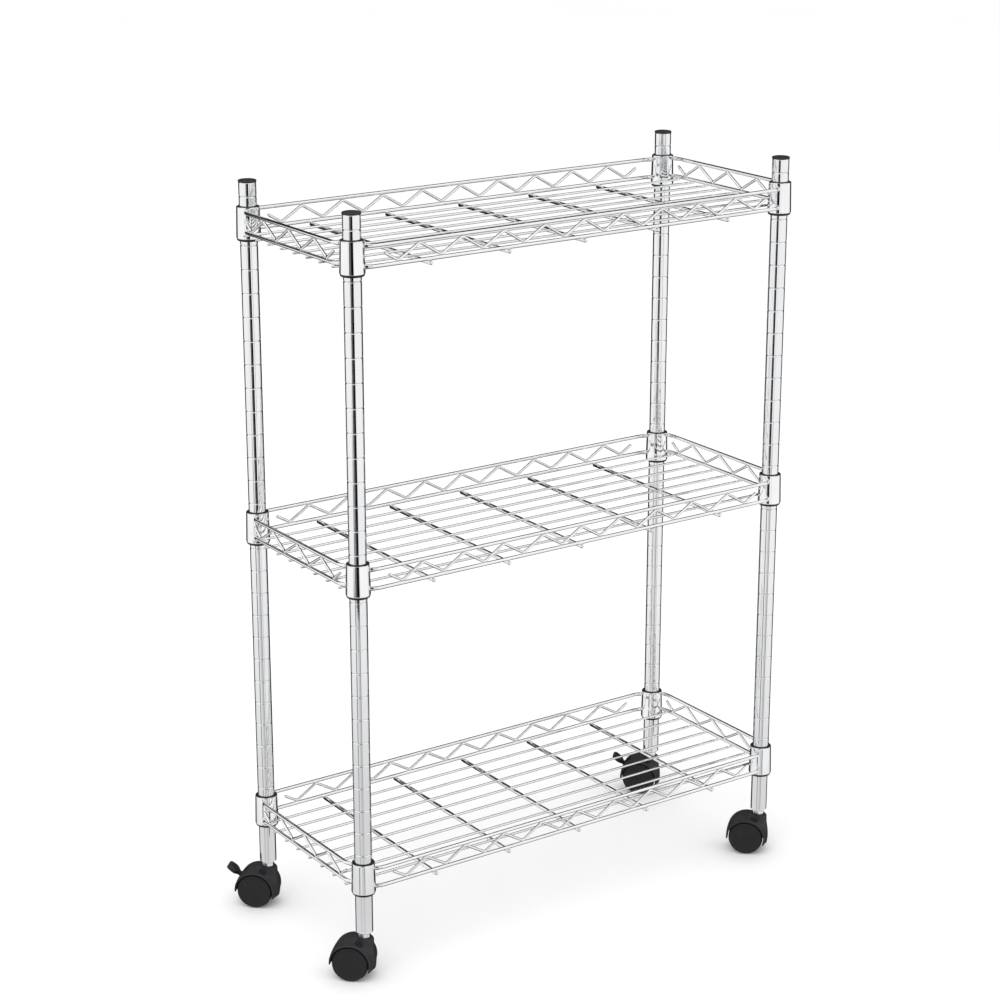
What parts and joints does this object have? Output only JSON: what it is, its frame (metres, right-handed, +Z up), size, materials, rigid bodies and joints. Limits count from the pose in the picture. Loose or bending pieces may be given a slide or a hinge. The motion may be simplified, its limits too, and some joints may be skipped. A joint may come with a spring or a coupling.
{
  "type": "wire shelving rack",
  "caption": "Rolling chrome wire rack: grooved round posts carry raised-edge wire shelves on locking sleeves, above swivelling twin-wheel casters, the rear ones with brake pedals.",
  "frame": {"origin": "centre of the bounding box in X and Y, on the floor under the wheels", "axes": "+Z up, +X to the right along the long side, -Y towards the front"},
  "size_m": [0.5998, 0.2644, 0.8208],
  "materials": {
    "post_chrome": "bright chrome plate",
    "shelf_chrome": "bright chrome plate over welded wire",
    "black_plastic": "satin moulded",
    "hood_plastic": "fine texture, satin",
    "wheel_plastic": "fine texture, satin",
    "caster_steel": "bright zinc"
  },
  "bodies": {
    "rack": {"post_front_left": "post_chrome", "post_cap_front_left": "black_plastic", "post_front_right": "post_chrome", "post_cap_front_right": "black_plastic", "post_rear_left": "post_chrome", "post_cap_rear_left": "black_plastic", "post_rear_right": "post_chrome", "post_cap_rear_right": "black_plastic", "shelf_top_frame": "shelf_chrome", "shelf_top_deck": "shelf_chrome", "sleeve_top_front_left_front": "black_plastic", "sleeve_top_front_left_rear": "black_plastic", "sleeve_top_front_right_front": "black_plastic", "sleeve_top_front_right_rear": "black_plastic", "sleeve_top_rear_left_front": "black_plastic", "sleeve_top_rear_left_rear": "black_plastic", "sleeve_top_rear_right_front": "black_plastic", "sleeve_top_rear_right_rear": "black_plastic", "shelf_middle_frame": "shelf_chrome", "shelf_middle_deck": "shelf_chrome", "sleeve_middle_front_left_front": "black_plastic", "sleeve_middle_front_left_rear": "black_plastic", "sleeve_middle_front_right_front": "black_plastic", "sleeve_middle_front_right_rear": "black_plastic", "sleeve_middle_rear_left_front": "black_plastic", "sleeve_middle_rear_left_rear": "black_plastic", "sleeve_middle_rear_right_front": "black_plastic", "sleeve_middle_rear_right_rear": "black_plastic", "shelf_bottom_frame": "shelf_chrome", "shelf_bottom_deck": "shelf_chrome", "sleeve_bottom_front_left_front": "black_plastic", "sleeve_bottom_front_left_rear": "black_plastic", "sleeve_bottom_front_right_front": "black_plastic", "sleeve_bottom_front_right_rear": "black_plastic", "sleeve_bottom_rear_left_front": "black_plastic", "sleeve_bottom_rear_left_rear": "black_plastic", "sleeve_bottom_rear_right_front": "black_plastic", "sleeve_bottom_rear_right_rear": "black_plastic", "caster_stem_front_left": "caster_steel", "caster_stem_front_right": "caster_steel", "caster_stem_rear_left": "caster_steel", "caster_stem_rear_right": "caster_steel"},
    "caster_front_left": {"caster_hood_front_left": "hood_plastic", "caster_axle_front_left": "caster_steel"},
    "wheel_front_left_near": {"caster_wheel_front_left_near": "wheel_plastic"},
    "wheel_front_left_far": {"caster_wheel_front_left_far": "wheel_plastic"},
    "caster_front_right": {"caster_hood_front_right": "hood_plastic", "caster_axle_front_right": "caster_steel"},
    "wheel_front_right_near": {"caster_wheel_front_right_near": "wheel_plastic"},
    "wheel_front_right_far": {"caster_wheel_front_right_far": "wheel_plastic"},
    "caster_rear_left": {"caster_hood_rear_left": "hood_plastic", "caster_axle_rear_left": "caster_steel"},
    "wheel_rear_left_near": {"caster_wheel_rear_left_near": "wheel_plastic"},
    "wheel_rear_left_far": {"caster_wheel_rear_left_far": "wheel_plastic"},
    "brake_rear_left": {"brake_pedal_rear_left": "black_plastic"},
    "caster_rear_right": {"caster_hood_rear_right": "hood_plastic", "caster_axle_rear_right": "caster_steel"},
    "wheel_rear_right_near": {"caster_wheel_rear_right_near": "wheel_plastic"},
    "wheel_rear_right_far": {"caster_wheel_rear_right_far": "wheel_plastic"},
    "brake_rear_right": {"brake_pedal_rear_right": "black_plastic"}
  },
  "joints": [
    {"name": "caster_swivel_front_left", "type": "hinge", "parent": "rack", "child": "caster_front_left", "pos_m": [-0.25995, -0.11335, 0.0467], "axis": [0, 0, 1], "continuous": true},
    {"name": "wheel_spin_front_left_near", "type": "hinge", "parent": "caster_front_left", "child": "wheel_front_left_near", "pos_m": [-0.26914, -0.10416, 0.02], "axis": [-0.7071, -0.7071, 0], "continuous": true},
    {"name": "wheel_spin_front_left_far", "type": "hinge", "parent": "caster_front_left", "child": "wheel_front_left_far", "pos_m": [-0.26914, -0.10416, 0.02], "axis": [-0.7071, -0.7071, 0], "continuous": true},
    {"name": "caster_swivel_front_right", "type": "hinge", "parent": "rack", "child": "caster_front_right", "pos_m": [0.28105, -0.11335, 0.0467], "axis": [0, 0, 1], "continuous": true},
    {"name": "wheel_spin_front_right_near", "type": "hinge", "parent": "caster_front_right", "child": "wheel_front_right_near", "pos_m": [0.27186, -0.10416, 0.02], "axis": [-0.7071, -0.7071, 0], "continuous": true},
    {"name": "wheel_spin_front_right_far", "type": "hinge", "parent": "caster_front_right", "child": "wheel_front_right_far", "pos_m": [0.27186, -0.10416, 0.02], "axis": [-0.7071, -0.7071, 0], "continuous": true},
    {"name": "caster_swivel_rear_left", "type": "hinge", "parent": "rack", "child": "caster_rear_left", "pos_m": [-0.25995, 0.09225, 0.0467], "axis": [0, 0, 1], "continuous": true},
    {"name": "wheel_spin_rear_left_near", "type": "hinge", "parent": "caster_rear_left", "child": "wheel_rear_left_near", "pos_m": [-0.26914, 0.10144, 0.02], "axis": [-0.7071, -0.7071, 0], "continuous": true},
    {"name": "wheel_spin_rear_left_far", "type": "hinge", "parent": "caster_rear_left", "child": "wheel_rear_left_far", "pos_m": [-0.26914, 0.10144, 0.02], "axis": [-0.7071, -0.7071, 0], "continuous": true},
    {"name": "brake_press_rear_left", "type": "hinge", "parent": "caster_rear_left", "child": "brake_rear_left", "pos_m": [-0.27869, 0.11099, 0.0305], "axis": [-0.7071, -0.7071, 0], "range_deg": [0, 14]},
    {"name": "caster_swivel_rear_right", "type": "hinge", "parent": "rack", "child": "caster_rear_right", "pos_m": [0.28105, 0.09225, 0.0467], "axis": [0, 0, 1], "continuous": true},
    {"name": "wheel_spin_rear_right_near", "type": "hinge", "parent": "caster_rear_right", "child": "wheel_rear_right_near", "pos_m": [0.27186, 0.10144, 0.02], "axis": [-0.7071, -0.7071, 0], "continuous": true},
    {"name": "wheel_spin_rear_right_far", "type": "hinge", "parent": "caster_rear_right", "child": "wheel_rear_right_far", "pos_m": [0.27186, 0.10144, 0.02], "axis": [-0.7071, -0.7071, 0], "continuous": true},
    {"name": "brake_press_rear_right", "type": "hinge", "parent": "caster_rear_right", "child": "brake_rear_right", "pos_m": [0.26232, 0.11099, 0.0305], "axis": [-0.7071, -0.7071, 0], "range_deg": [0, 14]}
  ]
}
